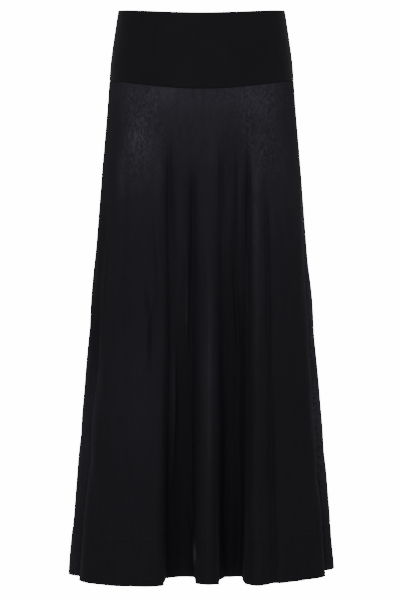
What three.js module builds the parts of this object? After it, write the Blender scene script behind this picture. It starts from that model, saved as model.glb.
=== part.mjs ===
// A black jersey maxi skirt with a deep double waistband, filled out as it hangs when worn.
// Millimetres, +Z up. The front faces -Y and the wearer's left side is at +X.
// The origin is the centre of the waist opening, and "down" is the distance below it.
import * as THREE from "three";

// Driving dimensions
const HEM_DOWN = 1006;
const HEM_DEPTH = 84; // the hem is turned up inside by this much
const HEM_STEP = 1.5; // height over which the second layer of the hem begins
const TOP_EDGE = { side: 0, front: 18.6, back: -12, bend: 1.15 };
const YOKE_SEAM = { side: 126, front: 27, back: -18, bend: 1.4 };
const GAP = 0.3; // between two pieces at a seam
const WAISTBAND_WALL = 2; // folded double
const SKIRT_WALL = 1.2;
const HEM_WALL = 2.4; // skirt cloth and its turned-up hem
const PLEAT_GROWTH = 1.1; // 1 deepens the long folds evenly, more deepens them later

// Mesh density
const COLUMNS = 88; // across one panel
const WAISTBAND_ROWS = 3;
const SKIRT_ROWS = 16; // down to the top of the hem
const HEM_ROWS = 2;
const RING_SAMPLES = 1200; // across one panel, while a ring is measured
const TANGENT_STEP = 0.004; // of a panel's width

// The general figure that the cloth goes round, before any fold: half width at the sides, depth to the
// front and to the back, and how square the outline is (2 is an ellipse).
const FIGURE = [
  { down: 0, side: 150.2, front: 98, back: 100, square: 2.15 },
  { down: 45, side: 157.0, front: 101, back: 107, square: 2.15 },
  { down: 90, side: 163.2, front: 106, back: 115, square: 2.15 },
  { down: 126, side: 166.1, front: 110, back: 121, square: 2.18 },
  { down: 160, side: 168.2, front: 112, back: 127, square: 2.2 },
  { down: 240, side: 174.8, front: 118, back: 137, square: 2.2 },
  { down: HEM_DOWN, side: 239, front: 187, back: 192, square: 2.4 },
];

// Folds, from the wearer's right to left on each face. "at" is measured along the plain figure from the
// middle of the face, towards +X, and "wide" is half the fold's width, each where the fold starts and at
// the hem. A fold goes in where "deep" is positive and stands out where it is negative. Its depth grows
// from "start" to "full", and a crease dies away again from "fade" to "end". "square" is how flat its
// floor is, and "squareHem" is the same at the hem, for a fold whose walls grow steeper on the way down.
// "lean" is 1 for a fold pushed straight back and 0 for one pushed at the axis.
const STEADY = Infinity;
const FOLD_COLUMNS = [
  "name", "face", "atStart", "atHem", "wideStart", "wideHem",
  "deep", "start", "full", "fade", "end", "square", "lean", "squareHem",
];
const FOLDS = [
  ["right side hollow", "front", -190, -262, 10, 15, 28, 330, 900, STEADY, STEADY, 3.5, 0],
  ["right panel swell", "front", -120, -185, 44, 62, -12, 300, HEM_DOWN, STEADY, STEADY, 3, 0.4],
  ["right panel trough", "front", -142, -135, 11, 15, 6, 250, 420, 620, 960, 2, 1],
  ["first pleat, right crease", "front", -56, -60, 7, 8, 17, 222, 300, 360, 520, 1.6, 1],
  ["first pleat", "front", -35.5, -37.5, 20.5, 26.5, 69, 300, HEM_DOWN, STEADY, STEADY, 10, 1, 22],
  ["first pleat, floor", "front", -33, -31, 14, 18, 15, 300, HEM_DOWN, STEADY, STEADY, 3, 1],
  ["first pleat, left crease", "front", -16, -8, 6, 8, 16, 256, 370, 700, 1300, 1.6, 1],
  ["set back between pleats", "front", 6, 5, 62, 68, 24, 420, HEM_DOWN, STEADY, STEADY, 9, 1],
  ["middle crest", "front", 14, 13, 11, 12, -14, 340, 600, 720, 1300, 2, 1],
  ["second pleat, right crease", "front", 35, 29, 5.5, 9, 14, 225, 320, 800, 1500, 1.6, 1],
  ["second pleat", "front", 58.5, 51.5, 22, 21.5, 71, 300, HEM_DOWN, STEADY, STEADY, 9, 1, 20],
  ["second pleat, floor", "front", 59, 55, 15, 16, 14, 285, 560, 760, 1300, 4, 1],
  ["second pleat, left crease", "front", 83, 80, 5, 8, 15, 236, 330, 900, 1400, 1.5, 1],
  ["left panel ridge", "front", 97, 98, 9, 12, -8, 240, 430, 700, 1300, 2, 1],
  ["left panel crease", "front", 113.5, 131, 6.5, 9, 15, 276, 390, 820, 1500, 1.5, 1],
  ["left panel flat", "front", 150, 190, 40, 66, 22, 300, HEM_DOWN, STEADY, STEADY, 3, 0.3],
  ["left side hollow", "front", 215, 313, 14, 22, 44, 260, 900, STEADY, STEADY, 3.5, 0],
  ["right side flat", "back", -235, -285, 30, 48, 14, 330, HEM_DOWN, STEADY, STEADY, 3, 0],
  ["right flute hollow", "back", -150, -206, 14, 24, 50, 330, HEM_DOWN, STEADY, STEADY, 4, 0.4],
  ["right back flute hollow", "back", -78, -106, 14, 24, 66, 300, HEM_DOWN, STEADY, STEADY, 6, 1],
  ["middle flute hollow", "back", -8, -12, 13, 20, 52, 340, HEM_DOWN, STEADY, STEADY, 5, 1],
  ["left back flute hollow", "back", 62, 86, 15, 25, 72, 290, HEM_DOWN, STEADY, STEADY, 6, 1],
  ["left flute hollow", "back", 138, 192, 13, 23, 52, 340, HEM_DOWN, STEADY, STEADY, 4, 0.4],
  ["left side flute", "back", 235, 300, 30, 48, -5, 330, HEM_DOWN, STEADY, STEADY, 3, 0],
].map((row) => Object.fromEntries(FOLD_COLUMNS.map((column, i) => [column, row[i]])));

const CLOTH = {
  waistband: new THREE.MeshStandardMaterial({ color: 0x18181a, roughness: 0.85, metalness: 0 }),
  skirt: new THREE.MeshStandardMaterial({ color: 0x1c1b20, roughness: 0.9, metalness: 0 }),
};

const mix = THREE.MathUtils.lerp;
const ramp = (value, from, to) => THREE.MathUtils.clamp((value - from) / (to - from), 0, 1);
const ease = (t) => t * t * (3 - 2 * t);

// One of the figure's sizes at a height, by a smooth curve through its rows.
function figureSize(name, down) {
  const last = FIGURE.length - 1;
  const slope = (i) => {
    const before = FIGURE[Math.max(i - 1, 0)];
    const after = FIGURE[Math.min(i + 1, last)];
    return (after[name] - before[name]) / (after.down - before.down);
  };
  const height = THREE.MathUtils.clamp(down, FIGURE[0].down, FIGURE[last].down);
  let row = 0;
  while (row < last - 1 && height > FIGURE[row + 1].down) row += 1;
  if (row === last - 1) {
    return mix(FIGURE[row][name], FIGURE[last][name], ramp(height, FIGURE[row].down, FIGURE[last].down));
  }
  const [a, b] = [FIGURE[row], FIGURE[row + 1]];
  const step = b.down - a.down;
  const t = (height - a.down) / step;
  const bend = t * t * (3 - 2 * t);
  return (
    mix(a[name], b[name], bend) +
    step * (slope(row) * (t ** 3 - 2 * t * t + t) + slope(row + 1) * (t ** 3 - t * t))
  );
}

// How deep a fold is at a height, and how much of that depth reaches a place along the cloth.
function foldDepth(fold, down) {
  const grown = ramp(down, fold.start, fold.full);
  const shape = fold.full === HEM_DOWN ? grown ** PLEAT_GROWTH : ease(grown);
  const kept = fold.fade === STEADY ? 1 : 1 - ramp(down, fold.fade, fold.end);
  return fold.deep * shape * kept;
}

function foldSpread(fold, along, down) {
  const t = ramp(down, fold.start, HEM_DOWN);
  const off = Math.abs(along - mix(fold.atStart, fold.atHem, t)) / mix(fold.wideStart, fold.wideHem, t);
  return 1 / (1 + off ** mix(fold.square, fold.squareHem ?? fold.square, t));
}

function runningLengths(points) {
  const lengths = [0];
  for (let i = 1; i < points.length; i += 1) {
    lengths.push(lengths[i - 1] + points[i].distanceTo(points[i - 1]));
  }
  return lengths;
}

// The plain figure in plan at one height, as dense points from the side seam at -X round the front to the
// one at +X and on round the back.
function figureRing(down) {
  const side = figureSize("side", down);
  const square = figureSize("square", down);
  const points = [];
  for (let i = 0; i <= 2 * RING_SAMPLES; i += 1) {
    const angle = Math.PI * (i / RING_SAMPLES - 0.5);
    const depth = figureSize(i <= RING_SAMPLES ? "front" : "back", down);
    const reach =
      (Math.abs(Math.sin(angle) / side) ** square + Math.abs(Math.cos(angle) / depth) ** square) **
      (-1 / square);
    points.push(new THREE.Vector2(reach * Math.sin(angle), -reach * Math.cos(angle)));
  }
  return points;
}

// The same ring with its folds, and the length along it.
const rings = new Map();
function clothRing(down) {
  const key = down.toFixed(4);
  if (rings.has(key)) return rings.get(key);
  const plain = figureRing(down);
  const lengths = runningLengths(plain);
  const whole = lengths[2 * RING_SAMPLES];
  const wrap = (length) => length - whole * Math.round(length / whole);
  const middle = { front: lengths[RING_SAMPLES / 2], back: lengths[(3 * RING_SAMPLES) / 2] };
  const live = FOLDS.map((fold) => ({ fold, depth: foldDepth(fold, down) })).filter(({ depth }) => depth !== 0);
  const points = plain.map((point, i) => {
    const shifted = point.clone();
    live.forEach(({ fold, depth }) => {
      const facing = fold.face === "front" ? 1 : -1;
      const along = wrap(facing * (lengths[i] - middle[fold.face]));
      const inward = point.clone().normalize().multiplyScalar(fold.lean - 1);
      inward.y += facing * fold.lean;
      shifted.addScaledVector(inward.normalize(), depth * foldSpread(fold, along, down));
    });
    return shifted;
  });
  const ring = { points, lengths: runningLengths(points) };
  rings.set(key, ring);
  return ring;
}

// A point of the outer surface. "around" is 0 to 1 across the front panel and 1 to 2 across the back one.
function surfacePoint(around, down) {
  const turn = ((around % 2) + 2) % 2;
  const { points, lengths } = clothRing(down);
  const seam = lengths[RING_SAMPLES];
  const goal = turn < 1 ? turn * seam : mix(seam, lengths[2 * RING_SAMPLES], turn - 1);
  let low = 0;
  let high = 2 * RING_SAMPLES;
  while (high - low > 1) {
    const half = (low + high) >> 1;
    if (lengths[half] > goal) high = half;
    else low = half;
  }
  const t = (goal - lengths[low]) / (lengths[high] - lengths[low]);
  const plan = points[low].clone().lerp(points[high], t);
  return new THREE.Vector3(plan.x, plan.y, -down);
}

// The height of the top edge or of the waistband's seam, which both sag at the front.
function edgeDown(edge, around) {
  const facing = Math.sin(Math.PI * around);
  const sag = Math.abs(facing) ** edge.bend;
  return edge.side + sag * (facing > 0 ? edge.front : edge.back);
}

// The outward direction, level with the floor, across the cloth at a point.
function outward(around, down) {
  const before = surfacePoint(around - TANGENT_STEP, down);
  const after = surfacePoint(around + TANGENT_STEP, down);
  return new THREE.Vector3(after.y - before.y, before.x - after.x, 0).normalize();
}

// A closed wall between two grids of points, [row][column], rows running down and columns anticlockwise
// seen from above.
function wallGeometry(outer, inner) {
  const rows = outer.length;
  const columns = outer[0].length;
  const positions = [];
  [outer, inner].forEach((grid) => grid.forEach((row) => row.forEach((p) => positions.push(p.x, p.y, p.z))));
  const outerAt = (r, c) => r * columns + c;
  const innerAt = (r, c) => rows * columns + outerAt(r, c);
  const index = [];
  const quad = (a, b, c, d) => index.push(a, b, c, a, c, d);
  for (let r = 0; r < rows - 1; r += 1) {
    for (let c = 0; c < columns - 1; c += 1) {
      quad(outerAt(r, c), outerAt(r + 1, c), outerAt(r + 1, c + 1), outerAt(r, c + 1));
      quad(innerAt(r, c), innerAt(r, c + 1), innerAt(r + 1, c + 1), innerAt(r + 1, c));
    }
  }
  for (let c = 0; c < columns - 1; c += 1) {
    quad(outerAt(0, c), outerAt(0, c + 1), innerAt(0, c + 1), innerAt(0, c));
    quad(outerAt(rows - 1, c), innerAt(rows - 1, c), innerAt(rows - 1, c + 1), outerAt(rows - 1, c + 1));
  }
  for (let r = 0; r < rows - 1; r += 1) {
    quad(outerAt(r, 0), innerAt(r, 0), innerAt(r + 1, 0), outerAt(r + 1, 0));
    const last = columns - 1;
    quad(outerAt(r, last), outerAt(r + 1, last), innerAt(r + 1, last), innerAt(r, last));
  }
  const geometry = new THREE.BufferGeometry();
  geometry.setAttribute("position", new THREE.Float32BufferAttribute(positions, 3));
  geometry.setIndex(index);
  geometry.computeVertexNormals();
  return geometry;
}

// One panel of cloth. Each row has a height for each place round the skirt, and a thickness.
function panel(name, isFront, rows, material) {
  const outer = [];
  const inner = [];
  rows.forEach(({ downAt, wall }) => {
    const outerRow = [];
    const innerRow = [];
    const start = isFront ? 0 : 1;
    const { lengths } = clothRing(downAt(start));
    const width = lengths[(start + 1) * RING_SAMPLES] - lengths[start * RING_SAMPLES];
    const seamGap = GAP / 2 / width;
    for (let c = 0; c <= COLUMNS; c += 1) {
      const around = start + mix(seamGap, 1 - seamGap, c / COLUMNS);
      const point = surfacePoint(around, downAt(around));
      outerRow.push(point);
      innerRow.push(point.clone().addScaledVector(outward(around, downAt(around)), -wall));
    }
    outer.push(outerRow);
    inner.push(innerRow);
  });
  const mesh = new THREE.Mesh(wallGeometry(outer, inner), material);
  mesh.name = name;
  return mesh;
}

function waistbandRows() {
  const rows = [];
  for (let r = 0; r <= WAISTBAND_ROWS; r += 1) {
    const downAt = (around) =>
      mix(edgeDown(TOP_EDGE, around), edgeDown(YOKE_SEAM, around) - GAP / 2, r / WAISTBAND_ROWS);
    rows.push({ downAt, wall: WAISTBAND_WALL });
  }
  return rows;
}

function skirtRows() {
  const hemTop = HEM_DOWN - HEM_DEPTH;
  const rows = [];
  for (let r = 0; r <= SKIRT_ROWS; r += 1) {
    const downAt = (around) => mix(edgeDown(YOKE_SEAM, around) + GAP / 2, hemTop, r / SKIRT_ROWS);
    rows.push({ downAt, wall: SKIRT_WALL });
  }
  for (let r = 0; r <= HEM_ROWS; r += 1) {
    const down = mix(hemTop + HEM_STEP, HEM_DOWN, r / HEM_ROWS);
    rows.push({ downAt: () => down, wall: HEM_WALL });
  }
  return rows;
}

const skirt = new THREE.Group();
[
  { face: "front", isFront: true },
  { face: "back", isFront: false },
].forEach(({ face, isFront }) => {
  skirt.add(panel(`waistband_${face}`, isFront, waistbandRows(), CLOTH.waistband));
  skirt.add(panel(`skirt_${face}`, isFront, skirtRows(), CLOTH.skirt));
});

export default skirt;
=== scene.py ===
# Black jersey maxi skirt with a deep double waistband, filled out as worn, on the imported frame.
import math

import bmesh
import bpy
import numpy as np
from mathutils import Matrix, Vector


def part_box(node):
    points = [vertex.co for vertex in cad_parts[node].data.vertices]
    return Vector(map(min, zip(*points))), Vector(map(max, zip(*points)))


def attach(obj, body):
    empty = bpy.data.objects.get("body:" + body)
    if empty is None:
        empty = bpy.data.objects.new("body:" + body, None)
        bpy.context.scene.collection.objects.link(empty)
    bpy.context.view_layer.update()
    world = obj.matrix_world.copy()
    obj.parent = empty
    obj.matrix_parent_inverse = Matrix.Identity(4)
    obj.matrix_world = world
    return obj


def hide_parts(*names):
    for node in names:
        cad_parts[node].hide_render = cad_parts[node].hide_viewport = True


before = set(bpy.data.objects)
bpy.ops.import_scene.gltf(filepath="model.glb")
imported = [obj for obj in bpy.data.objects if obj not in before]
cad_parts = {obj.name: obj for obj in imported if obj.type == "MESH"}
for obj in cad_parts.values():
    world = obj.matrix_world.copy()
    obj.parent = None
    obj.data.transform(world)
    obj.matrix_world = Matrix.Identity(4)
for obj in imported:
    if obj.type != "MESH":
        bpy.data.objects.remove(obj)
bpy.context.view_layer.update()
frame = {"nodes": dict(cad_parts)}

mm = 0.001
print("frame loaded:", ", ".join(frame["nodes"]))

# Camera: level, straight on, far enough that the sides round away as photographed.
shot = {"distance": 3.0, "eyeDown": 0.520, "asideX": -0.0028, "lens": 100, "sensor": 36}

camera = bpy.data.cameras.new("camera")
camera.lens = shot["lens"]
camera.sensor_width = shot["sensor"]
cameraObject = bpy.data.objects.new("camera", camera)
cameraObject.location = (shot["asideX"], -shot["distance"], -shot["eyeDown"])
cameraObject.rotation_euler = (math.radians(90), 0, 0)
bpy.context.scene.collection.objects.link(cameraObject)
bpy.context.scene.camera = cameraObject

# The skirt's own sizes in millimetres, "down" from the waist.
hemDown = -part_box("skirt_front")[0][2] / mm
topEdge = {"side": 0, "front": 18.6, "back": -12, "bend": 1.15}
yokeSeam = {"side": 126, "front": 27, "back": -18, "bend": 1.4}
seamGap = 0.3

# Plain figure under the cloth: half width, depth to front and back, squareness.
figure = {
    "down": [0, 45, 90, 126, 160, 240, hemDown],
    "side": [150.2, 157.0, 163.2, 166.1, 168.2, 174.8, 239],
    "front": [98, 101, 106, 110, 112, 118, 187],
    "back": [100, 107, 115, 121, 127, 137, 192],
    "square": [2.15, 2.15, 2.15, 2.18, 2.2, 2.2, 2.4],
}

# Long folds: place and half width along the figure at start and hem, depth inwards, the heights down where
# they start, are full, begin to fade and end, their squareness, and how straight they push in: 1 is front to
# back, 0 is to the middle.
steady = math.inf
foldColumns = [
    "face", "atStart", "atHem", "wideStart", "wideHem", "deep",
    "start", "full", "fade", "end", "square", "lean",
    "squareHem",  # given where a fold's walls grow steeper, or a crease rounder, on the way down
]
foldRows = [
    ("front", -190, -262, 10, 15, 28, 330, 900, steady, steady, 3.5, 0),  # right side hollow
    ("front", -120, -185, 44, 62, -12, 300, hemDown, steady, steady, 3, 0.4),  # right panel swell
    ("front", -142, -135, 11, 15, 6, 250, 420, 620, 960, 2, 1),  # right panel trough
    ("front", -56, -60, 7, 8, 17, 222, 300, 360, 520, 1.6, 1),  # first pleat, right crease
    ("front", -35.5, -37.5, 20.5, 26.5, 69, 300, hemDown, steady, steady, 10, 1, 40),  # first pleat
    ("front", -33, -31, 14, 18, 15, 300, hemDown, steady, steady, 3, 1),  # first pleat, floor
    ("front", -16, -8, 6, 8, 16, 256, 370, 700, 1300, 1.6, 1),  # first pleat, left crease
    ("front", 6, 5, 62, 68, 24, 420, hemDown, steady, steady, 9, 1),  # set back between pleats
    ("front", 14, 13, 11, 12, -14, 340, 600, 720, 1300, 2, 1),  # middle crest
    ("front", 35, 29, 5.5, 9, 14, 225, 320, 800, 1500, 1.6, 1),  # second pleat, right crease
    ("front", 58.5, 51.5, 22, 21.5, 71, 300, hemDown, steady, steady, 9, 1, 40),  # second pleat
    ("front", 59, 55, 15, 16, 14, 285, 560, 760, 1300, 4, 1),  # second pleat, floor
    ("front", 83, 80, 5, 8, 15, 236, 330, 900, 1400, 1.5, 1),  # second pleat, left crease
    ("front", 97, 98, 9, 12, -8, 240, 430, 700, 1300, 2, 1),  # left panel ridge
    ("front", 113.5, 131, 6.5, 11, 15, 276, 390, 820, 1500, 1.5, 1, 2.6),  # left panel crease
    ("front", 150, 190, 40, 66, 22, 300, hemDown, steady, steady, 3, 0.3),  # left panel flat
    ("front", 215, 313, 14, 22, 44, 260, 900, steady, steady, 3.5, 0),  # left side hollow
    ("back", -235, -285, 30, 48, 14, 330, hemDown, steady, steady, 3, 0),  # right side flat
    ("back", -150, -206, 14, 24, 50, 330, hemDown, steady, steady, 4, 0.4),  # right flute hollow
    ("back", -78, -106, 14, 24, 66, 300, hemDown, steady, steady, 6, 1),  # right back flute hollow
    ("back", -8, -12, 13, 20, 52, 340, hemDown, steady, steady, 5, 1),  # middle flute hollow
    ("back", 62, 86, 15, 25, 72, 290, hemDown, steady, steady, 6, 1),  # left back flute hollow
    ("back", 138, 192, 13, 23, 52, 340, hemDown, steady, steady, 4, 0.4),  # left flute hollow
    ("back", 235, 300, 30, 48, -5, 330, hemDown, steady, steady, 3, 0),  # left side flute
]
softRows = [  # small swells and creases that the solids leave out
    ("front", -77, -78, 7, 8, -4, 236, 290, 360, 560, 2, 1),  # ridge beside the first pleat
    ("front", -39, -39, 8, 9, -3, 260, 330, 520, 700, 2, 1),  # ridge in the first pleat
    ("front", -16.5, -13, 6, 7, 3, 262, 330, 420, 620, 1.6, 1),  # deeper start of its left crease
    ("front", -26.5, -25, 3.2, 3.4, -8, 400, 470, 560, 640, 2, 1),  # small fold beside it
    ("front", 60, 58, 3.2, 5, 7, 250, 300, 380, 520, 1.5, 1),  # crease in the second pleat
    ("front", 53, 50, 7, 9, -6, 420, 760, steady, steady, 2, 1),  # second pleat's floor, rounded
    ("front", 82, 76, 2.4, 3, 4, 244, 275, 430, 540, 1.5, 1),  # sharp upper end of its left crease
    ("front", 34, 33, 4, 4.2, -36, 620, hemDown, steady, steady, 3, 1),  # second pleat's right wall, aslant
    ("front", 124, 131, 8, 11, 3, 720, 850, steady, steady, 2, 1),  # left panel crease, deeper below
    ("front", -61, -60, 8, 12, 7, 700, 900, steady, steady, 2, 1),  # rounded edges beside the pleats
    ("front", 34, 33.5, 9, 14, 10, 680, 880, steady, steady, 2, 1),
    ("front", 72, 69, 8, 12, 8, 700, 900, steady, steady, 2, 1),
    ("front", 288, 372, 22, 30, -1.7, 440, 520, 900, 970, 2, 0),  # left side, fuller
    ("back", 20, 22, 9, 12, -4, 300, 520, steady, steady, 2, 1),
    ("back", -44, -52, 10, 14, -4, 280, 500, steady, steady, 2, 1),
    ("back", 100, 128, 10, 16, -4, 300, 560, steady, steady, 2, 1),
]
folds = [dict(zip(foldColumns, row)) for row in foldRows + softRows]
pleatGrowth = 1.1  # how a fold that deepens down to the hem does so: 1 is evenly
steepening = 3  # how late on the way down squareHem takes over

# Creases pressed or pulled into the cloth: X at top and bottom, from and to down, height out (+) or in (-),
# half width, and how far the line bows to the side.
creaseColumns = ["face", "topX", "endX", "start", "end", "height", "wide", "bow"]
creaseRows = [
    ("front", -89, -76, 365, 530, -3.8, 2.6, 2),
    ("front", -80, -69, 385, 570, 1.0, 4.5, 2),
    ("front", -98.5, -87.5, 506, 558, -5.2, 2.4, 0),
    ("front", -77, -87, 506, 558, -4.4, 2.4, 0),
    ("front", -88.6, -90.4, 536, 644, -7.0, 2.4, 0),
    ("front", -84.6, -86, 556, 644, 1.8, 2.4, 0),
    ("front", -134, -126, 596, 640, -1.4, 2.4, 0),
    ("front", -121, -125, 598, 635, -1.2, 2.4, 0),
    ("front", -146, -126, 350, 420, 1.0, 4.0, 0),
    ("front", -46, -53, 590, 860, 6.0, 2.8, 0.5),
    ("front", -29, -7, 830, 1000, 6.0, 2.6, 1.5),
    ("front", -112, -118, 640, 900, 1.2, 9.0, 3),
    ("front", -160, -176, 420, 700, -1.2, 7.0, -3),
    ("front", 12, 14, 470, 800, 1.4, 4.0, 1),
    ("front", 66, 66, 285, 520, 2.2, 4.0, 0),
    ("front", 47, 49, 290, 520, 2.0, 4.0, 0),
    ("front", 56.5, 66, 450, 640, -5.0, 2.6, 0),
    ("front", 136, 146, 330, 560, -1.3, 6.0, 3),
    ("front", 150, 172, 520, 760, -1.0, 9.0, 4),
    ("front", 138, 150, 840, 990, -1.2, 8.0, 2),
    ("back", -132, -150, 340, 560, -1.4, 5.0, 3),
    ("back", -96, -104, 300, 520, -2.4, 4.5, -2),
    ("back", -40, -46, 360, 640, 1.6, 6.0, 2),
    ("back", 18, 20, 310, 600, -2.4, 5.0, -2),
    ("back", 40, 42, 420, 760, 1.4, 6.0, 2),
    ("back", 104, 118, 330, 540, -1.8, 5.0, 3),
    ("back", 150, 170, 460, 720, -1.2, 7.0, 4),
    ("back", -60, -70, 700, 960, 1.2, 8.0, -3),
    ("back", 62, 70, 640, 930, -1.4, 5.0, 2),
]
creases = [dict(zip(creaseColumns, row)) for row in creaseRows]


def ramp(value, start, end):
    return np.clip((value - start) / (end - start), 0, 1)


def ease(t):
    return t * t * (3 - 2 * t)


def figureSize(name, down):
    heights = np.array(figure["down"], float)
    sizes = np.array(figure[name], float)
    last = len(heights) - 1
    down = np.clip(down, heights[0], heights[-1])
    row = np.clip(np.searchsorted(heights, down, side="left") - 1, 0, last - 1)
    before = np.maximum(np.arange(last + 1) - 1, 0)
    after = np.minimum(np.arange(last + 1) + 1, last)
    slope = (sizes[after] - sizes[before]) / (heights[after] - heights[before])
    step = heights[row + 1] - heights[row]
    t = (down - heights[row]) / step
    curve = sizes[row] + (sizes[row + 1] - sizes[row]) * ease(t)
    curve += step * (slope[row] * (t**3 - 2 * t**2 + t) + slope[row + 1] * (t**3 - t**2))
    straight = sizes[row] + (sizes[row + 1] - sizes[row]) * t
    return np.where(row == last - 1, straight, curve)


def edgeDown(edge, around):
    facing = np.sin(math.pi * around)
    sag = np.abs(facing) ** edge["bend"]
    return edge["side"] + sag * np.where(facing > 0, edge["front"], edge["back"])


def runningLength(x, y):
    steps = np.hypot(np.diff(x, axis=1), np.diff(y, axis=1))
    return np.hstack([np.zeros((len(x), 1)), np.cumsum(steps, axis=1)])


# The folded cloth in plan at many heights, from the side seam at -X round the front to +X and round the back.
fine = {"samples": 1600, "levelStep": 3.4, "above": 16, "below": 4}
seamCalm = (2, 16)  # creases and waves start this far from a side seam, and are full from there
levels = np.arange(-fine["above"], hemDown + fine["below"] + fine["levelStep"], fine["levelStep"])


def clothRings():
    half = fine["samples"]
    place = np.arange(2 * half + 1)
    angle = math.pi * (place / half - 0.5)
    side = figureSize("side", levels)[:, None]
    squareness = figureSize("square", levels)[:, None]
    depth = np.where(place <= half, figureSize("front", levels)[:, None], figureSize("back", levels)[:, None])
    curve = np.abs(np.sin(angle) / side) ** squareness + np.abs(np.cos(angle) / depth) ** squareness
    reach = curve ** (-1 / squareness)
    plainX = reach * np.sin(angle)
    plainY = -reach * np.cos(angle)
    length = runningLength(plainX, plainY)
    whole = length[:, -1:]
    x = plainX.copy()
    y = plainY.copy()
    for fold in folds:
        grown = ramp(levels, fold["start"], fold["full"])
        grown = grown**pleatGrowth if fold["full"] == hemDown else ease(grown)
        kept = 1 if fold["fade"] == steady else 1 - ramp(levels, fold["fade"], fold["end"])
        deep = (fold["deep"] * grown * kept)[:, None]
        t = ramp(levels, fold["start"], hemDown)[:, None]
        facing = 1 if fold["face"] == "front" else -1
        middle = length[:, [half // 2 if facing == 1 else 3 * half // 2]]
        along = facing * (length - middle)
        along -= whole * np.round(along / whole)
        at = fold["atStart"] + (fold["atHem"] - fold["atStart"]) * t
        wide = fold["wideStart"] + (fold["wideHem"] - fold["wideStart"]) * t
        square = fold["square"] + (fold.get("squareHem", fold["square"]) - fold["square"]) * t**steepening
        spread = 1 / (1 + (np.abs(along - at) / wide) ** square)
        inX = -(1 - fold["lean"]) * plainX / reach
        inY = -(1 - fold["lean"]) * plainY / reach + facing * fold["lean"]
        size = np.hypot(inX, inY)
        x += deep * spread * inX / size
        y += deep * spread * inY / size
    return x, y


def panelPart(face):
    half = fine["samples"]
    return slice(0, half + 1) if face == "front" else slice(half, 2 * half + 1)


def clothTable(face, shares):
    # the cloth at shares of one panel's width, one row of them for all heights or one for each
    part = panelPart(face)
    length = runningLength(ringX[:, part], ringY[:, part])
    goal = np.broadcast_to(shares, (len(levels), np.shape(shares)[-1])) * length[:, -1:]
    x = np.empty(goal.shape)
    y = np.empty(goal.shape)
    for i in range(len(levels)):
        x[i] = np.interp(goal[i], length[i], ringX[i, part])
        y[i] = np.interp(goal[i], length[i], ringY[i, part])
    normalX, normalY = outward(x, y)
    fromSide = np.minimum(goal, length[:, -1:] - goal)
    lift = (creaseLift(face, x) + softLift(goal - length[:, -1:] / 2)) * ease(ramp(fromSide, *seamCalm))
    return x + lift * normalX, y + lift * normalY


def outward(x, y):
    tangentX = np.gradient(x, axis=1)
    tangentY = np.gradient(y, axis=1)
    size = np.hypot(tangentX, tangentY)
    return tangentY / size, -tangentX / size


def creaseLift(face, x):
    # each crease is deepest and widest half way along it
    lift = np.zeros_like(x)
    for crease in creases:
        if crease["face"] != face:
            continue
        t = ramp(levels, crease["start"], crease["end"])[:, None]
        centre = crease["topX"] + (crease["endX"] - crease["topX"]) * t + crease["bow"] * np.sin(math.pi * t)
        window = np.sin(math.pi * t) ** 0.8
        wide = crease["wide"] * (0.75 + 0.5 * np.sin(math.pi * t))
        lift += crease["height"] * window * np.exp(-(((x - centre) / wide) ** 2))
    return lift


# The unevenness of hanging jersey: long, low waves that start below the hip.
hangingWaves = {
    "count": 14, "seed": 7, "height": 0.24, "wide": (30, 90), "tall": (260, 620),
    "drift": 0.04, "bend": 0.8, "start": 190, "full": 420,
}


def softLift(across):
    size = hangingWaves
    lift = np.zeros_like(across)
    fall = levels[:, None]
    random = np.random.default_rng(size["seed"])
    for wave in range(size["count"]):
        wide = random.uniform(*size["wide"])
        tall = random.uniform(*size["tall"])
        turn = random.uniform(0, 2 * math.pi)
        sway = random.uniform(0, 2 * math.pi)
        drift = random.uniform(-size["drift"], size["drift"])
        bend = size["bend"] * np.sin(2 * math.pi * fall / tall + sway)
        lift += size["height"] * np.sin(2 * math.pi * (across + drift * fall) / wide + turn + bend)
    return lift * ramp(fall, size["start"], size["full"])


def atHeights(table, down):
    # reads a table of [level][column] at a height for each row and column, short of its last level
    place = np.clip((down - levels[0]) / fine["levelStep"], 0, len(levels) - 1.001)
    low = place.astype(int)
    t = place - low
    column = np.broadcast_to(np.arange(table.shape[1]), down.shape)
    return table[low, column] * (1 - t) + table[low + 1, column] * t


def panelFractions(columns, width, edges):
    # even columns, and closer ones where the cloth turns into its side seams, where both panels meet
    near = np.array(edges) / width
    inner = np.linspace(near[-1], 1 - near[-1], columns)
    return np.concatenate([near[:-1], inner, 1 - near[:-1][::-1]])


def sheetPiece(name, points, across, fall, flip, material, thickness, looks):
    # one cloth sheet from a grid of points [row][column], given its thickness inwards
    rows, columns = points.shape[:2]
    r, c = np.meshgrid(np.arange(rows - 1), np.arange(columns - 1), indexing="ij")
    corner = (r * columns + c).ravel()
    faces = np.stack([corner, corner + columns, corner + columns + 1, corner + 1], axis=1)
    if flip:
        faces = faces[:, ::-1]
    mesh = bpy.data.meshes.new(name)
    mesh.from_pydata((points.reshape(-1, 3) * mm).tolist(), [], faces.tolist())
    layer = mesh.uv_layers.new(name="cloth")
    corners = faces.ravel()
    uv = np.stack([across.ravel()[corners], -fall.ravel()[corners]], axis=1) * mm
    layer.data.foreach_set("uv", uv.astype(np.float32).ravel())
    for key, values in looks.items():
        attribute = mesh.attributes.new(key, "FLOAT", "POINT")
        attribute.data.foreach_set("value", values.astype(np.float32).ravel())
    mesh.materials.append(material)
    piece = bpy.data.objects.new(name, mesh)
    bpy.context.scene.collection.objects.link(piece)
    bpy.ops.object.select_all(action="DESELECT")
    piece.select_set(True)
    bpy.context.view_layer.objects.active = piece
    shell = piece.modifiers.new("cloth thickness", "SOLIDIFY")
    shell.thickness = thickness * mm
    shell.offset = -1
    bpy.ops.object.modifier_apply(modifier=shell.name)
    bpy.ops.object.shade_smooth()
    return piece


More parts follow.
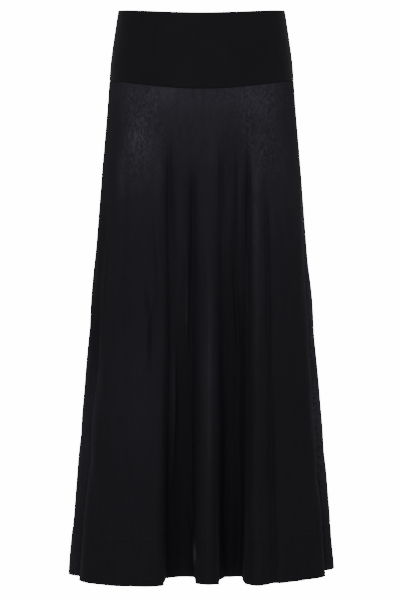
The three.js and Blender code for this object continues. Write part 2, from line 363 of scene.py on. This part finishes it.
# Materials
def newMaterial(name):
    material = bpy.data.materials.new(name)
    material.use_nodes = True
    nodes = material.node_tree.nodes
    return material, nodes, material.node_tree.links, nodes["Principled BSDF"]


def clothUv(nodes):
    node = nodes.new("ShaderNodeUVMap")
    node.uv_map = "cloth"
    return node.outputs["UV"]


def attributeOf(nodes, name):
    node = nodes.new("ShaderNodeAttribute")
    node.attribute_name = name
    return node.outputs["Fac"]


def stretchedNoise(nodes, links, wide, tall, detail, seed):
    # noise in the cloth's own UV metres, in spots this many metres wide and tall
    uv = clothUv(nodes)
    mapping = nodes.new("ShaderNodeMapping")
    mapping.inputs["Scale"].default_value = (1 / wide, 1 / tall, 1)
    mapping.inputs["Location"].default_value = (seed, seed * 1.7, seed * 0.3)
    noise = nodes.new("ShaderNodeTexNoise")
    noise.inputs["Scale"].default_value = 1
    noise.inputs["Detail"].default_value = detail
    noise.inputs["Roughness"].default_value = 0.55
    links.new(uv, mapping.inputs["Vector"])
    links.new(mapping.outputs["Vector"], noise.inputs["Vector"])
    return noise.outputs["Fac"]


def combine(nodes, links, operation, first, second, clamp=False):
    node = nodes.new("ShaderNodeMath")
    node.operation = operation
    node.use_clamp = clamp
    for socket, value in zip(node.inputs, (first, second)):
        if isinstance(value, (int, float)):
            socket.default_value = value
        else:
            links.new(value, socket)
    return node.outputs[0]


def rangeOf(nodes, links, value, low, high, toLow, toHigh):
    node = nodes.new("ShaderNodeMapRange")
    for key, number in (("From Min", low), ("From Max", high), ("To Min", toLow), ("To Max", toHigh)):
        node.inputs[key].default_value = number
    links.new(value, node.inputs["Value"])
    return node.outputs["Result"]


def blend(nodes, links, fac, first, second):
    node = nodes.new("ShaderNodeMix")
    node.data_type = "RGBA"
    links.new(fac, node.inputs["Factor"])
    for socket, value in ((node.inputs["A"], first), (node.inputs["B"], second)):
        if isinstance(value, tuple):
            socket.default_value = value
        else:
            links.new(value, socket)
    return node.outputs["Result"]


def bumpOf(nodes, links, height, strength, distance):
    node = nodes.new("ShaderNodeBump")
    node.inputs["Strength"].default_value = strength
    node.inputs["Distance"].default_value = distance
    links.new(height, node.inputs["Height"])
    return node


def waveOf(nodes, links, value, pitch):
    turned = combine(nodes, links, "MULTIPLY", value, 2 * math.pi / pitch)
    return combine(nodes, links, "SINE", turned, 0)


def knitBump(nodes, links, wale, course, courseHeight, strength, distance):
    # upright wales crossed by lower courses, as fine jersey has on its face
    uv = clothUv(nodes)
    split = nodes.new("ShaderNodeSeparateXYZ")
    links.new(uv, split.inputs["Vector"])
    upright = waveOf(nodes, links, split.outputs["X"], wale)
    level = waveOf(nodes, links, split.outputs["Y"], course)
    low = combine(nodes, links, "MULTIPLY", level, courseHeight)
    height = combine(nodes, links, "ADD", upright, low)
    return bumpOf(nodes, links, height, strength, distance)


def jerseyFinish(shader, look):
    shader.inputs["Specular IOR Level"].default_value = look["specular"]
    shader.inputs["Sheen Weight"].default_value = look["sheen"]
    shader.inputs["Sheen Roughness"].default_value = look["sheenRoughness"]
    shader.inputs["Sheen Tint"].default_value = look["sheenTint"]


# In the looks, a noise is its spots' width and height in metres, its detail and its seed. A range is the
# noise's low and high, and what they turn into.
skirtLook = {
    "dark": (0.0072, 0.0068, 0.0086, 1),
    "streak": (0.0084, 0.0079, 0.0100, 1),
    # paler colour where the knit is thin, with painted sheen and painted light as if through the sheer cloth
    "thinAndPaintedLightColour": (0.0300, 0.0282, 0.0368, 1),
    "doubled": 0.96,  # the turned-up hem shows darker than one layer
    "streaks": (0.0050, 0.050, 2, 1.3),
    "streakRange": (0.35, 0.7, 0, 0.55),
    "specks": (0.0045, 0.0066, 2, 4.1),
    "speckRange": (0.40, 0.68, -0.5, 1.7),
    "clouds": (0.016, 0.034, 2, 7.7),
    "cloudRange": (0.3, 0.7, 0.82, 1.18),
    "ladders": (0.0036, 0.12, 1, 9.3),  # columns of stitches that the specks gather in
    "ladderRange": (0.36, 0.62, 0.35, 1.5),
    "roughRange": (0.3, 0.7, 0.78, 0.92),
    "knit": {"wale": 0.0011, "course": 0.0009, "courseHeight": 0.35, "strength": 0.35, "distance": 0.0002},
    "ripple": {"strength": 0.2, "distance": 0.0004},
    "specular": 0.03,
    "sheen": 0.008,
    "sheenRoughness": 0.5,
    "sheenTint": (0.90, 0.88, 1.0, 1),
}


def skirtMaterial():
    look = skirtLook
    material, nodes, links, shader = newMaterial("fineBlackJersey")
    thinAndPaintedLight = attributeOf(nodes, "thinAndPaintedLight")
    layers = attributeOf(nodes, "doubled")
    grain = attributeOf(nodes, "grain")
    streaks = stretchedNoise(nodes, links, *look["streaks"])
    specks = stretchedNoise(nodes, links, *look["specks"])
    clouds = stretchedNoise(nodes, links, *look["clouds"])
    ladders = stretchedNoise(nodes, links, *look["ladders"])
    brightSpecks = rangeOf(nodes, links, specks, *look["speckRange"])
    alongLadders = rangeOf(nodes, links, ladders, *look["ladderRange"])
    inLadders = combine(nodes, links, "MULTIPLY", brightSpecks, alongLadders)
    specksHere = combine(nodes, links, "MULTIPLY", inLadders, grain)
    patchy = rangeOf(nodes, links, clouds, *look["cloudRange"])
    mottled = combine(nodes, links, "ADD", patchy, specksHere)
    # share of the paler colour: thin knit, with painted light and painted shade
    thinAndPaintedLightShare = combine(nodes, links, "MULTIPLY", thinAndPaintedLight, mottled, True)
    plainShade = rangeOf(nodes, links, streaks, *look["streakRange"])
    plain = blend(nodes, links, plainShade, look["dark"], look["streak"])
    single = blend(nodes, links, thinAndPaintedLightShare, plain, look["thinAndPaintedLightColour"])
    depth = rangeOf(nodes, links, layers, 0, 1, 1, look["doubled"])
    darker = nodes.new("ShaderNodeHueSaturation")
    links.new(depth, darker.inputs["Value"])
    links.new(single, darker.inputs["Color"])
    links.new(darker.outputs["Color"], shader.inputs["Base Color"])
    knit = knitBump(nodes, links, **look["knit"])
    ripple = bumpOf(nodes, links, streaks, **look["ripple"])
    links.new(knit.outputs["Normal"], ripple.inputs["Normal"])
    links.new(ripple.outputs["Normal"], shader.inputs["Normal"])
    links.new(rangeOf(nodes, links, specks, *look["roughRange"]), shader.inputs["Roughness"])
    jerseyFinish(shader, look)
    return material


bandLook = {
    "dark": (0.0042, 0.0040, 0.0051, 1),
    "light": (0.0053, 0.0051, 0.0063, 1),
    "streaks": (0.006, 0.045, 2, 2.2),
    "clouds": (0.05, 0.05, 2, 5.5),
    "shadeRange": (0.12, 0.4, 0, 1),
    "roughRange": (0.3, 0.7, 0.76, 0.86),
    "knit": {"wale": 0.0008, "course": 0.0007, "courseHeight": 0.35, "strength": 0.25, "distance": 0.00015},
    "specular": 0.08,
    "sheen": 0.028,
    "sheenRoughness": 0.4,
    "sheenTint": (0.95, 0.95, 1.0, 1),
}


def bandMaterial():
    look = bandLook
    material, nodes, links, shader = newMaterial("doubleBlackJersey")
    streaks = stretchedNoise(nodes, links, *look["streaks"])
    clouds = stretchedNoise(nodes, links, *look["clouds"])
    shade = combine(nodes, links, "MULTIPLY", streaks, clouds)
    lighter = rangeOf(nodes, links, shade, *look["shadeRange"])
    links.new(blend(nodes, links, lighter, look["dark"], look["light"]), shader.inputs["Base Color"])
    knit = knitBump(nodes, links, **look["knit"])
    links.new(knit.outputs["Normal"], shader.inputs["Normal"])
    links.new(rangeOf(nodes, links, streaks, *look["roughRange"]), shader.inputs["Roughness"])
    jerseyFinish(shader, look)
    return material


threadLook = {
    "dark": (0.0042, 0.0041, 0.0053, 1),
    "light": (0.0082, 0.0081, 0.0100, 1),
    "twistHighlights": 900,  # flecks of light on the twist, to the metre
    "rough": 0.55,
    "specular": 0.3,
}


def threadMaterial():
    look = threadLook
    material, nodes, links, shader = newMaterial("blackThread")
    place = nodes.new("ShaderNodeTexCoord")
    noise = nodes.new("ShaderNodeTexNoise")
    noise.inputs["Scale"].default_value = look["twistHighlights"]
    links.new(place.outputs["Object"], noise.inputs["Vector"])
    # painted highlights: lighter flecks on the twist
    colour = blend(nodes, links, noise.outputs["Fac"], look["dark"], look["light"])
    links.new(colour, shader.inputs["Base Color"])
    shader.inputs["Roughness"].default_value = look["rough"]
    shader.inputs["Specular IOR Level"].default_value = look["specular"]
    return material


jersey = skirtMaterial()
doubleJersey = bandMaterial()
thread = threadMaterial()
print("materials ready")

ringX, ringY = clothRings()
print("cloth shape worked out at", len(levels), "heights")

faces = ["front", "back"]


def around(face, fractions):
    return fractions + (0 if face == "front" else 1)


def pointsInside(x, y, down, inset):
    # points on the cloth at these heights, moved this far inwards
    normalX, normalY = outward(x, y)
    return np.stack([
        atHeights(x, down) - inset * atHeights(normalX, down),
        atHeights(y, down) - inset * atHeights(normalY, down),
        -down,
    ], axis=-1)


flapReach = 0.04


def sideTuck(size, fromSide):
    # a panel's edge rolls into its side seam and turns in sharply where it meets the other panel
    rolled = size["sideTuck"] * np.clip(1 - fromSide / size["sideReach"], 0, 1) ** 2
    return rolled + size["sideFlap"] * (fromSide < flapReach)


def rowsOf(pairs, columns):
    # pairs of height and inset, either of them one number or one for each column
    down = np.array([np.broadcast_to(pair[0], columns) for pair in pairs], float)
    inset = np.array([np.broadcast_to(pair[1], columns) for pair in pairs], float)
    return down, inset


# Waistband: double cloth folded at the top edge. Its outer layer rolls in at the seam, and its inner one
# goes on behind the skirt as the seam's allowance.
waistband = {
    "columns": 170, "rows": 26, "insideRows": 12, "turnRows": 7,
    "fold": 1.0, "cloth": 0.8, "allowance": 9, "slack": 0.15,
    "edges": [0.0, 0.05, 0.5, 1.2, 3.0],
    "width": 450, "backPattern": 600,  # where the knit's pattern starts on the back piece
    "sideTuck": 0.5, "sideReach": 1.8, "sideFlap": 0.9,
    "rolledEdge": [(0.0, 1.0), (0.15, 0.55), (0.6, 0.15), (1.4, 0.0)],  # above the seam, inset
    "flat": {"front": (0.45, 0.28), "back": (0.46, 0.26)},  # metres, cut flat
    "area": {"front": 0.114, "back": 0.109},
}


def buildWaistband(face):
    size = waistband
    shares = panelFractions(size["columns"], size["width"], size["edges"])
    x, y = clothTable(face, shares)
    top = edgeDown(topEdge, around(face, shares))
    seam = edgeDown(yokeSeam, around(face, shares)) - seamGap / 2
    radius = size["fold"]
    rolled = size["rolledEdge"][-1][0]
    pairs = [(seam - above, inset) for above, inset in size["rolledEdge"]]
    for t in np.linspace(0, 1, size["rows"])[1:]:
        pairs.append((seam - rolled + (top + radius - seam + rolled) * t, 0))
    for turn in np.linspace(0, math.pi, size["turnRows"])[1:]:
        pairs.append((top + radius - radius * math.sin(turn), radius * (1 - math.cos(turn))))
    for t in np.linspace(0, 1, size["insideRows"])[1:]:
        lining = top + radius + (seam + size["allowance"] - top - radius) * t
        pairs.append((lining, 2 * radius + size["slack"] * t))
    down, inset = rowsOf(pairs, len(shares))
    fromSide = np.minimum(shares, 1 - shares) * size["width"]
    inset += sideTuck(size, fromSide) * (inset < radius)
    points = pointsInside(x, y, down, inset)
    pattern = size["backPattern"] if face == "back" else 0
    across = np.broadcast_to((shares - 0.5) * size["width"] + pattern, down.shape)
    name = f"waistband{face.title()}"
    piece = sheetPiece(name, points, across, down, True, doubleJersey, size["cloth"], {})
    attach(piece, "root")
    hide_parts(f"waistband_{face}")
    print(piece.name, len(piece.data.polygons), "faces")


# Skirt panel: one layer of fine jersey from the waistband's seam to the hem, turned up inside.
skirt = {
    "columns": 324, "rows": 88, "belowRows": 9, "hemRows": 9, "turnRows": 7,
    "stitchRows": [-9, -5, -2.6, -1.4, -0.6, 0, 0.6, 1.4, 2.6, 5, 9],
    "fold": 0.8, "cloth": 0.6, "hemDepth": 84, "stitchAbove": 3,
    "edges": [0.0, 0.1, 0.8, 2.0, 4.5],
    "width": 985, "patternWidth": 720, "backPattern": 900,  # the knit's pattern, and where the back's starts
    "sideTuck": 0.7, "sideReach": 3.2, "sideFlap": 0.7,
    "rolledEdge": [(0.0, 1.3), (0.5, 0.87), (1.4, 0.52), (3.0, 0.22), (5.5, 0.04)],  # below the seam, inset
    "flat": {"front": (1.03, 0.975), "back": (1.01, 0.99)},  # metres, cut flat
    "area": {"front": 0.71, "back": 0.705},
}
stitchDown = hemDown - skirt["hemDepth"] + skirt["stitchAbove"]

# Where the single layer is pulled thin and shows paler, with painted light on top: painted sheen on the hips
# and painted light as if through the sheer cloth. How much below the seam, less of it at the sides of the
# hips, and patches with X, down, half width, half height and amount.
thinAndPaintedLightFall = {
    "below": [0, 30, 60, 110, 160, 205, 308, 445, 560],
    "amount": [0.36, 0.34, 0.28, 0.20, 0.17, 0.13, 0.07, 0.03, 0],
}
paleHips = {"fromX": 122, "toX": 158, "less": 0.5, "down": (300, 420)}
thinAndPaintedLightPatches = {
    "front": [
        # (-48, 680) and (-12.4, 953) are painted highlights along fold edges
        # negative amounts are painted shade in the folds; (-58, 650) lightens the shade on a steep fold wall
        (-106, 254, 27, 58, 0.23), (-122, 233, 9, 14, 0.10), (-40, 168, 70, 26, 0.06),
        (-141, 300, 9, 40, 0.26), (-74, 165, 22, 18, 0.10), (-76, 298, 8, 34, 0.10),
        (-174, 430, 10, 90, -0.12), (112, 215, 28, 60, 0.08), (96, 165, 40, 26, 0.06),
        (156, 275, 20, 70, 0.24), (120, 350, 30, 70, 0.04), (50, 265, 26, 40, -0.05),
        (-15, 300, 24, 40, -0.05), (52, 470, 16, 90, -0.04), (14, 262, 12, 30, 0.04),
        (47, 300, 8, 40, -0.06), (89, 298, 8, 30, 0.10), (-60, 158, 22, 14, 0.05),
        (10, 162, 18, 14, -0.05), (-26, 532, 3.5, 34, 0.18), (-58, 650, 4.5, 100, 0.13),
        (90, 212, 12, 16, -0.05), (75, 450, 6, 30, -0.07), (97, 400, 14, 190, 0.14),
        (13, 650, 11, 150, 0.20), (-115, 680, 60, 110, 0.08), (-12.4, 953, 1.3, 11, 2.0),
        (-48, 680, 3, 70, 0.14),
    ],
    "back": [(-104, 225, 36, 66, 0.26), (96, 215, 36, 64, 0.26), (0, 560, 150, 240, 0.05)],
}
# Where that shows as bright specks between the wales, besides a few everywhere.
speckEverywhere = 0.16
speckPatches = {
    "front": [
        (-106, 215, 30, 62, 0.56), (-122, 233, 10, 18, 0.5), (-96, 158, 44, 24, 0.22),
        (-128, 300, 16, 44, 0.2), (76, 210, 14, 62, 0.5), (116, 168, 34, 34, 0.4),
        (114, 256, 24, 50, 0.55), (40, 170, 30, 20, 0.2),
    ],
    "back": [(-104, 210, 32, 60, 0.8), (100, 205, 32, 58, 0.8)],
}
# Painted backlight: both sides show pale behind the front panel's edges, as if lit through the sheer cloth
# from behind: X of an edge at some heights. That fades out on the way down, and from front to back.
backlightFade = {"down": (740, 960), "back": (0, 60)}
sideEdges = {
    "left": {
        "down": [300, 573, 696, 785, 891, 997], "x": [168, 184, 189, 197, 206, 218],
        "pale": 0.36, "specks": 0.6, "begins": (290, 420), "fadeDown": 0.55, "rise": (-4, 12),
    },
    "right": {
        "down": [300, 573, 696, 785, 891, 997], "x": [166, 173, 182, 190, 203, 211],
        "pale": 0.18, "specks": 0.1, "begins": (600, 700), "fadeDown": 0.2, "rise": (-8, 3),
    },
}


def patchSum(patches, x, down):
    total = np.zeros_like(x)
    for placeX, placeDown, wide, tall, amount in patches:
        total += amount * np.exp(-(((x - placeX) / wide) ** 2) - ((down - placeDown) / tall) ** 2)
    return total


# painted backlight on one side, fading downwards and towards the back
def paintedBacklight(side, x, y, down):
    edge = sideEdges[side]
    off = (x if side == "left" else -x) - np.interp(down, edge["down"], edge["x"])
    kept = 1 - edge["fadeDown"] * ease(ramp(down, *backlightFade["down"]))
    onFront = 1 - ease(ramp(y, *backlightFade["back"]))
    return ramp(off, *edge["rise"]) * ramp(down, *edge["begins"]) * kept * onFront


# how pale the skirt is painted: thin knit, with painted sheen, backlight and highlights, and painted shade
def thinAndPaintedLightMask(face, x, y, down):
    amount = np.interp(down - yokeSeam["side"], thinAndPaintedLightFall["below"], thinAndPaintedLightFall["amount"])
    amount = amount + patchSum(thinAndPaintedLightPatches[face], x, down)
    aside = ease(ramp(np.abs(x), paleHips["fromX"], paleHips["toX"]))
    amount = amount * (1 - paleHips["less"] * aside * (1 - ramp(down, *paleHips["down"])))
    for side, edge in sideEdges.items():
        amount = amount + edge["pale"] * paintedBacklight(side, x, y, down)
    return np.clip(amount, 0, 1)


def grainMask(face, x, y, down):
    specks = patchSum(speckPatches[face], x, down) + speckEverywhere
    # the painted backlight at the sides carries bright specks too
    for side, edge in sideEdges.items():
        specks = specks + edge["specks"] * paintedBacklight(side, x, y, down)
    return np.clip(specks, 0, 1)


# Along the hem's stitches: the groove, its slight pucker, and the fuller double cloth below it.
hemRelief = {
    "groove": 0.6, "grooveWide": 1.8, "fuller": -0.6, "fullerBelow": 8, "darkBelow": 1.4,
    "pucker": 0.18, "puckerPitch": 13, "puckerTall": 9, "uneven": 1.7, "unevenPitch": 61,
}


def hemShape(shares, down):
    size = hemRelief
    along = (shares - 0.5) * skirt["width"]
    off = down - stitchDown
    phase = 2 * math.pi * along / size["puckerPitch"] + size["uneven"] * np.sin(along / size["unevenPitch"])
    pucker = size["pucker"] * np.sin(phase) * np.exp(-((off / size["puckerTall"]) ** 2))
    groove = size["groove"] * np.exp(-((off / size["grooveWide"]) ** 2))
    fuller = size["fuller"] * ease(ramp(down, stitchDown, stitchDown + size["fullerBelow"]))
    return pucker + groove + fuller


def buildSkirtPanel(face):
    size = skirt
    shares = panelFractions(size["columns"], size["width"], size["edges"])
    x, y = clothTable(face, shares)
    seam = edgeDown(yokeSeam, around(face, shares)) + seamGap / 2
    radius = size["fold"]
    bottom = hemDown - radius
    rolled = size["rolledEdge"][-1][0]
    pairs = [(seam + below, inset) for below, inset in size["rolledEdge"]]
    hemTop = stitchDown + size["stitchRows"][0]
    for t in np.linspace(0, 1, size["rows"])[1:-1]:
        pairs.append((seam + rolled + (hemTop - seam - rolled) * t, 0))
    for off in size["stitchRows"]:
        pairs.append((stitchDown + off, 0))
    last = size["stitchRows"][-1]
    for t in np.linspace(0, 1, size["belowRows"])[1:]:
        pairs.append((stitchDown + last + (bottom - stitchDown - last) * t, 0))
    for turn in np.linspace(0, math.pi, size["turnRows"])[1:]:
        pairs.append((bottom + radius * math.sin(turn), radius * (1 - math.cos(turn))))
    for t in np.linspace(0, 1, size["hemRows"])[1:]:
        pairs.append((bottom - (size["hemDepth"] - radius) * t, 2 * radius))
    down, inset = rowsOf(pairs, len(shares))
    outside = inset < radius
    fromSide = np.minimum(shares, 1 - shares) * size["width"]
    inset += outside * (hemShape(shares, down) + sideTuck(size, fromSide))
    points = pointsInside(x, y, down, inset)
    pattern = size["backPattern"] if face == "back" else 0
    across = np.broadcast_to((shares - 0.5) * size["patternWidth"] + pattern, down.shape)
    looks = {
        # paleness of the thin knit, with painted light and painted shade
        "thinAndPaintedLight": thinAndPaintedLightMask(face, points[..., 0], points[..., 1], down),
        "doubled": ramp(down, stitchDown, stitchDown + hemRelief["darkBelow"]),
        "grain": grainMask(face, points[..., 0], points[..., 1], down),
    }
    piece = sheetPiece(f"skirt{face.title()}", points, across, down, False, jersey, size["cloth"], looks)
    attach(piece, "root")
    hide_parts(f"skirt_{face}")
    print(piece.name, len(piece.data.polygons), "faces")
    return piece


# Hem stitches: short threads that lie in the groove, one after another round each panel.
hemStitch = {
    "pitch": 3.1, "length": 2.3, "thick": 0.42, "sides": 6,
    "middle": 0.4, "tip": 0.55,  # shares of the length and of the thickness
    "dip": 0.3, "proud": 0.1,
}


def pickFaces(test):
    # selects the faces of the mesh in edit mode that pass a test
    body = bmesh.from_edit_mesh(bpy.context.edit_object.data)
    for face in body.faces:
        face.select_set(False)
    for face in body.faces:
        if test(face):
            face.select_set(True)
    bmesh.update_edit_mesh(bpy.context.edit_object.data)


def modelStitch():
    # a rod drawn out at both ends, which narrow and dip into the cloth. It lies along Z, with +X outwards.
    size = hemStitch
    middle = size["length"] * size["middle"]
    reach = (size["length"] - middle) / 2
    bpy.ops.object.select_all(action="DESELECT")
    bpy.ops.mesh.primitive_cylinder_add(
        vertices=size["sides"], radius=size["thick"] / 2 * mm, depth=middle * mm, location=(0, 0, 0))
    bpy.ops.object.mode_set(mode="EDIT")
    bpy.ops.mesh.select_mode(type="FACE")
    for end in (1, -1):
        pickFaces(lambda face: face.normal.z * end > 0.9)
        bpy.ops.mesh.extrude_region_move(
            TRANSFORM_OT_translate={"value": (-size["dip"] * mm, 0, end * reach * mm)})
        bpy.ops.transform.resize(value=(size["tip"], size["tip"], 1))
    bpy.ops.object.mode_set(mode="OBJECT")
    bpy.ops.object.shade_smooth()
    return bpy.context.active_object


def buildHemStitches():
    size = hemStitch
    pattern = modelStitch()
    copies = []
    for face in faces:
        count = int(skirt["width"] / size["pitch"])
        shares = (np.arange(count) + 0.5) / count
        x, y = clothTable(face, shares)
        down = np.full((1, count), float(stitchDown))
        place = pointsInside(x, y, down, hemShape(shares, down) - size["proud"])[0]
        normalX, normalY = (atHeights(part, down)[0] for part in outward(x, y))
        for i in range(count):
            out = Vector((normalX[i], normalY[i], 0)).normalized()
            turn = Matrix((out, Vector((0, 0, 1)), out.cross(Vector((0, 0, 1))))).transposed()
            stitch = pattern.copy()
            stitch.data = pattern.data.copy()
            stitch.data.transform(Matrix.Translation(Vector(place[i] * mm)) @ turn.to_4x4())
            bpy.context.scene.collection.objects.link(stitch)
            copies.append(stitch)
    bpy.data.objects.remove(pattern)
    bpy.ops.object.select_all(action="DESELECT")
    for stitch in copies:
        stitch.select_set(True)
    bpy.context.view_layer.objects.active = copies[0]
    bpy.ops.object.join()
    piece = bpy.context.active_object
    piece.name = "hemStitches"
    piece.data.materials.clear()
    piece.data.materials.append(thread)
    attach(piece, "root")
    print(piece.name, len(copies), "stitches")
    return piece


# Side seam allowances: both panels' edges, pressed to the back inside the skirt.
sideSeam = {
    "width": 11, "columns": 6, "rows": 60, "first": 0.5,
    "cloth": 0.9, "clear": 0.35, "belowBand": 11, "aboveHem": 2, "pattern": 2000,
}


def buildSideSeam(side):
    size = sideSeam
    part = panelPart("back")
    length = runningLength(ringX[:, part], ringY[:, part])[:, -1:]
    off = np.linspace(size["first"], size["width"], size["columns"])
    shares = off / length if side == "Left" else 1 - off[::-1] / length
    x, y = clothTable("back", shares)
    top = yokeSeam["side"] + size["belowBand"]
    end = hemDown - skirt["hemDepth"] - size["aboveHem"]
    down, inset = rowsOf([(level, 0) for level in np.linspace(top, end, size["rows"])], size["columns"])
    inset += skirt["cloth"] + size["clear"] + sideTuck(skirt, off if side == "Left" else off[::-1])
    points = pointsInside(x, y, down, inset)
    across = np.broadcast_to(off + size["pattern"], down.shape)
    looks = {"thinAndPaintedLight": np.zeros_like(down), "doubled": np.ones_like(down), "grain": np.zeros_like(down)}
    piece = sheetPiece(f"sideSeam{side}", points, across, down, False, jersey, size["cloth"], looks)
    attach(piece, "root")
    print(piece.name, len(piece.data.polygons), "faces")


for face in faces:
    buildWaistband(face)
panels = [buildSkirtPanel(face) for face in faces]
hemStitches = buildHemStitches()
for side in ("Right", "Left"):
    buildSideSeam(side)

# Studio: pale floor, white surround and soft light from the front.
studio = {
    "floorDown": 1.35, "floorReach": 1.45, "floorSolid": 0.25, "floorSides": 96,
    "paper": (0.92, 0.92, 0.92, 1), "paperRough": 0.9, "backdrop": 15, "surround": 0.70,
    "aim": (0, 0, -0.52),
    "lights": [  # name, place, width and height, watts
        ("front", (-0.30, -3.6, 0.15), (1.8, 2.0), 84),
        ("left", (-2.3, -2.0, 0.3), (1.0, 2.2), 8),
        ("right", (2.3, -2.0, 0.2), (1.0, 2.2), 7),
        ("top", (0, -1.2, 2.2), (1.6, 1.0), 8),
        ("back", (0.5, 3.6, 0.2), (1.8, 2.0), 50),
    ],
}


def areaLight(name, place, aim, size, watts):
    light = bpy.data.lights.new(name, "AREA")
    light.shape = "RECTANGLE"
    light.size, light.size_y = size
    light.energy = watts
    lamp = bpy.data.objects.new(name, light)
    lamp.location = place
    direction = np.array(aim) - np.array(place)
    pitch = math.atan2(direction[2], math.hypot(direction[0], direction[1]))
    heading = math.atan2(direction[0], direction[1])
    lamp.rotation_euler = (math.pi / 2 + pitch, 0, -heading)
    bpy.context.scene.collection.objects.link(lamp)


def floorMaterial():
    # pale paper that thins out into the white surround
    material, nodes, links, shader = newMaterial("paleFloor")
    shader.inputs["Base Color"].default_value = studio["paper"]
    shader.inputs["Roughness"].default_value = studio["paperRough"]
    place = nodes.new("ShaderNodeTexCoord")
    reach = nodes.new("ShaderNodeVectorMath")
    reach.operation = "LENGTH"
    links.new(place.outputs["Object"], reach.inputs[0])
    solid = studio["floorSolid"] * studio["floorReach"]
    far = rangeOf(nodes, links, reach.outputs["Value"], solid, studio["floorReach"], 1, 0)
    links.new(far, shader.inputs["Alpha"])
    return material


def buildStudio():
    bpy.ops.object.select_all(action="DESELECT")
    bpy.ops.mesh.primitive_circle_add(
        vertices=studio["floorSides"], radius=studio["floorReach"], fill_type="NGON",
        location=(0, 0, -studio["floorDown"]))
    floor = bpy.context.active_object
    floor.name = "floor"
    floor.data.materials.append(floorMaterial())
    world = bpy.data.worlds.new("white surround")
    bpy.context.scene.world = world
    world.use_nodes = True
    nodes, links = world.node_tree.nodes, world.node_tree.links
    soft = nodes["Background"]
    soft.inputs["Color"].default_value = (1, 1, 1, 1)
    soft.inputs["Strength"].default_value = studio["surround"]
    paper = nodes.new("ShaderNodeBackground")  # the white paper behind, brighter than the light it gives
    paper.inputs["Color"].default_value = (1, 1, 1, 1)
    paper.inputs["Strength"].default_value = studio["backdrop"]
    seen = nodes.new("ShaderNodeLightPath")
    either = nodes.new("ShaderNodeMixShader")
    links.new(seen.outputs["Is Camera Ray"], either.inputs["Fac"])
    links.new(soft.outputs["Background"], either.inputs[1])
    links.new(paper.outputs["Background"], either.inputs[2])
    links.new(either.outputs["Shader"], nodes["World Output"].inputs["Surface"])
    for name, place, size, watts in studio["lights"]:
        areaLight(name, place, studio["aim"], size, watts)


buildStudio()
print("studio ready")
